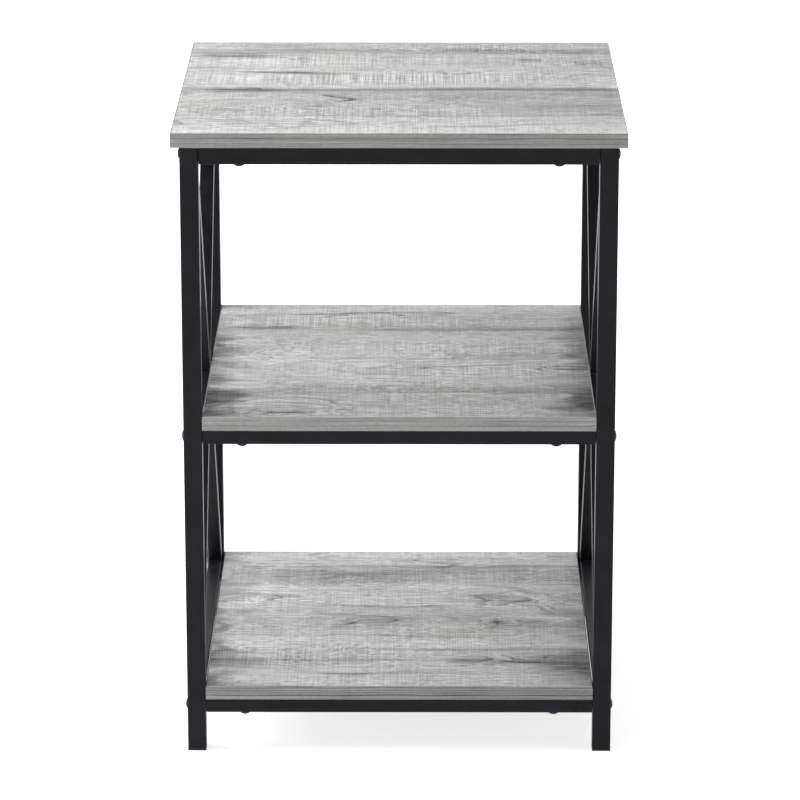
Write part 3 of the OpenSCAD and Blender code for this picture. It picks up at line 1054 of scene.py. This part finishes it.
leg_face = extent("back_left_leg")[0].y
top_rail_under = extent("left_top_side_rail")[0].z
low_rail_under, low_rail_top = [corner.z for corner in extent("left_bottom_side_rail")]
crossing = extent("left_lower_brace")[1].z
corners = [
    (leg_face - TOP_MITRE[0], top_rail_under),
    (leg_face, top_rail_under - TOP_MITRE[1]),
    (leg_face - LOW_MITRE[0], low_rail_top),
    (leg_face, low_rail_top + LOW_MITRE[1]),
    (leg_face, low_rail_under),
    (BESIDE_CROSSING, crossing),
]
bead_lines = [(sign * y, z) for y, z in corners for sign in (-1, 1)]
bead_lines += [(0, crossing + sign * OVER_CROSSING) for sign in (-1, 1)]
places = [
    Matrix.Translation(Vector((side * middle("right_long_brace").x, y, z)) * MM)
    for side in (-1, 1) for y, z in bead_lines
]
settle(copied_to("brace_welds", bead, places), frame_paint, "frame_paint")

# %% [markdown]
# The frame comes apart for packing, so black bolts hold the legs to the rails, and screws hold the
# boards. Their heads are low domes with a slot and a short cross arm. A head is the cap of a large
# sphere, extruded down for its rim and cut by two bars, and its foot is inset and extruded to the
# shank.

# %% Slotted heads
SLOT_WIDE = 1.6
SLOT_DEEP = 1.3
CROSS_ARM = 5.0
RIM_SHARE = 0.35
POINT_SHARE = 0.5
NEAR = 0.01


def cut(piece, size, centre_z):
    """Cuts a bar out of a piece."""
    bpy.ops.object.select_all(action="DESELECT")
    bpy.ops.mesh.primitive_cube_add(size=MM, location=(0, 0, centre_z * MM), scale=size)
    bar = bpy.context.object
    select_only(piece)
    bpy.ops.object.modifier_add(type="BOOLEAN")
    modifier = piece.modifiers[0]
    modifier.operation = "DIFFERENCE"
    modifier.solver = "EXACT"
    modifier.object = bar
    bpy.ops.object.modifier_apply(modifier=modifier.name)
    bpy.data.objects.remove(bar)


def extrude_down(depth):
    bpy.ops.mesh.extrude_region_move(TRANSFORM_OT_translate={"value": (0, 0, -depth * MM)})


def fastener(wide, high, shank, length, point):
    """A bolt or a screw, head up, with the underside of its head at the origin."""
    rim = RIM_SHARE * high
    dome = high - rim
    dome_radius = ((wide / 2) ** 2 + dome**2) / (2 * dome)
    bpy.ops.object.select_all(action="DESELECT")
    bpy.ops.mesh.primitive_uv_sphere_add(
        segments=32, ring_count=64, radius=dome_radius * MM, location=(0, 0, (high - dome_radius) * MM)
    )
    piece = bpy.context.object
    place_in_mesh(piece)
    bpy.ops.object.mode_set(mode="EDIT")
    bpy.ops.mesh.select_all(action="SELECT")
    bpy.ops.mesh.bisect(
        plane_co=(0, 0, rim * MM), plane_no=(0, 0, 1), use_fill=True, clear_inner=True, threshold=1e-7
    )
    pick(piece, "FACE", lambda corner: corner.z < rim + NEAR)
    extrude_down(rim)
    bpy.ops.mesh.inset(thickness=(wide - shank) / 2 * MM)
    extrude_down(length - point)
    extrude_down(point)
    bpy.ops.transform.resize(
        value=(POINT_SHARE, POINT_SHARE, 1), center_override=(0, 0, -length * MM)
    )
    bpy.ops.mesh.select_all(action="SELECT")
    bpy.ops.mesh.normals_make_consistent(inside=False)
    bpy.ops.object.mode_set(mode="OBJECT")
    cut(piece, (wide + 1, SLOT_WIDE, 2 * SLOT_DEEP), high)
    cut(piece, (SLOT_WIDE, CROSS_ARM, 2 * SLOT_DEEP), high)
    select_only(piece)
    bpy.ops.object.shade_smooth_by_angle(angle=math.radians(30))
    return piece


print("slot:", SLOT_WIDE, "mm wide and", SLOT_DEEP, "mm deep")

# %% [markdown]
# Twelve bolts enter the legs from outside, one into each end of each rail, with their slots level.
# Twelve screws go up through the rails into the boards. Both are black, and a little shinier than
# the frame. A fastener's place is a turn from head up to the way it points, and then a move.

# %% Bolts and screws
SCREW_INSET = 40.0
BOLT_BLACK = (0.006, 0.006, 0.008)
SPECKLE, SPECKLE_SIZE = 0.06, 3
TIERS = ("top", "middle", "bottom")

bolt_black = Finish("bolt black", Roughness=0.32, Specular_IOR_Level=0.3)
speckle = 1 + SPECKLE * bolt_black.noise(SPECKLE_SIZE)
bolt_black.feed("Base Color", bolt_black.tinted(BOLT_BLACK, speckle))

rail_y = middle("back_top_rail").y
frame_face = extent("front_right_leg")[1].x
bolt_places = [
    Matrix.Translation(Vector((side * frame_face, end * rail_y, middle(f"front_{tier}_rail").z)) * MM)
    @ Matrix.Rotation(side * math.pi / 2, 4, "Y") @ Matrix.Rotation(math.pi / 2, 4, "Z")
    for side in (-1, 1) for end in (-1, 1) for tier in TIERS
]
bolt = fastener(wide=10.5, high=2.2, shank=6.0, length=30.0, point=1.0)
settle(copied_to("bolts", bolt, bolt_places), bolt_black, "bolt_black", "frame_bolts")


def screws(name, tier, length):
    """Four screws up through the two rails of one tier."""
    low, high = extent(f"front_{tier}_rail")
    screw_x = high.x - SCREW_INSET
    places = [
        Matrix.Translation(Vector((side * screw_x, end * rail_y, low.z)) * MM)
        @ Matrix.Rotation(math.pi, 4, "X")
        for side in (-1, 1) for end in (-1, 1)
    ]
    screw = fastener(wide=11.5, high=3.9, shank=4.0, length=length, point=3.0)
    return copied_to(name, screw, places)


top_screws = screws("top_screws", "top", 29.0)
settle(top_screws, bolt_black, "bolt_black", "top_board_screws")
low_screws = [screws("low_screws", tier, 25.0) for tier in ("middle", "bottom")]
settle(made_one("shelf_screws_up", low_screws), bolt_black, "bolt_black", "shelf_screws")

# %% [markdown]
# The last parts keep their exact shapes and only need a finish: the zinc plates that the bolts turn
# into, which are hidden in the tubes, and the plastic plugs that the legs stand on.

# %% Plates and feet
ZINC = (0.62, 0.64, 0.66)
SPANGLE, SPANGLE_SIZE = 0.05, 4
FOOT_BLACK = (0.01, 0.01, 0.011)

zinc = Finish("zinc plate", Roughness=0.35, Metallic=1.0)
spangle = 1 + SPANGLE * zinc.noise(SPANGLE_SIZE)
zinc.feed("Base Color", zinc.tinted(ZINC, spangle))
dress(["top_rail_nuts", "shelf_rail_nuts"], zinc)

foot_plastic = Finish("foot plastic", Roughness=0.5, Specular_IOR_Level=0.3)
speckle = 1 + SPECKLE * foot_plastic.noise(SPECKLE_SIZE)
foot_plastic.feed("Base Color", foot_plastic.tinted(FOOT_BLACK, speckle))
feet = [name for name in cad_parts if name.endswith("foot")]
dress(feet, foot_plastic)
print("feet:", len(feet))
